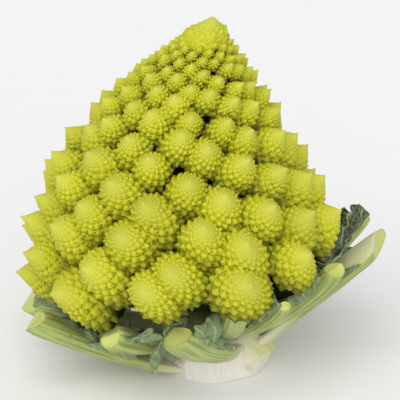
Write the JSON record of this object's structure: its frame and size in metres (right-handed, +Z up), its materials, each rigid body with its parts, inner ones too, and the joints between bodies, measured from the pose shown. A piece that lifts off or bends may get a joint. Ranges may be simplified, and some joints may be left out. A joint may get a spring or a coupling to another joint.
{
  "type": "romanesco head",
  "caption": "Whole fresh romanesco head: a pointed curd of spiralling conical florets on a short flat-cut stem, ringed by trimmed leaf stubs.",
  "frame": {"origin": "centre of the stem's flat cut face, which the head stands on", "axes": "+Z up from the cut face towards the curd's apex, -Y towards the side that faces the camera, +X to the right of that side"},
  "size_m": [0.1808, 0.1614, 0.1787],
  "materials": {
    "curd": "fresh yellow-green plant tissue, slightly waxy, pale at the bud tips",
    "stem": "creamy white cut stem, damp and fibrous",
    "leaf": "thick pale green midribs with bloomy blue-green blade"
  },
  "bodies": {
    "root": {"curd": "curd", "stem": "stem", "leaf_front": "leaf", "leaf_front_inner": "leaf", "leaf_front_right": "leaf", "leaf_right_inner": "leaf", "leaf_right": "leaf", "leaf_back_right": "leaf", "leaf_back_a": "leaf", "leaf_back_b": "leaf", "leaf_back_c": "leaf", "leaf_back_left": "leaf", "leaf_left": "leaf", "leaf_left_front": "leaf", "leaf_front_left": "leaf"}
  },
  "joints": []
}
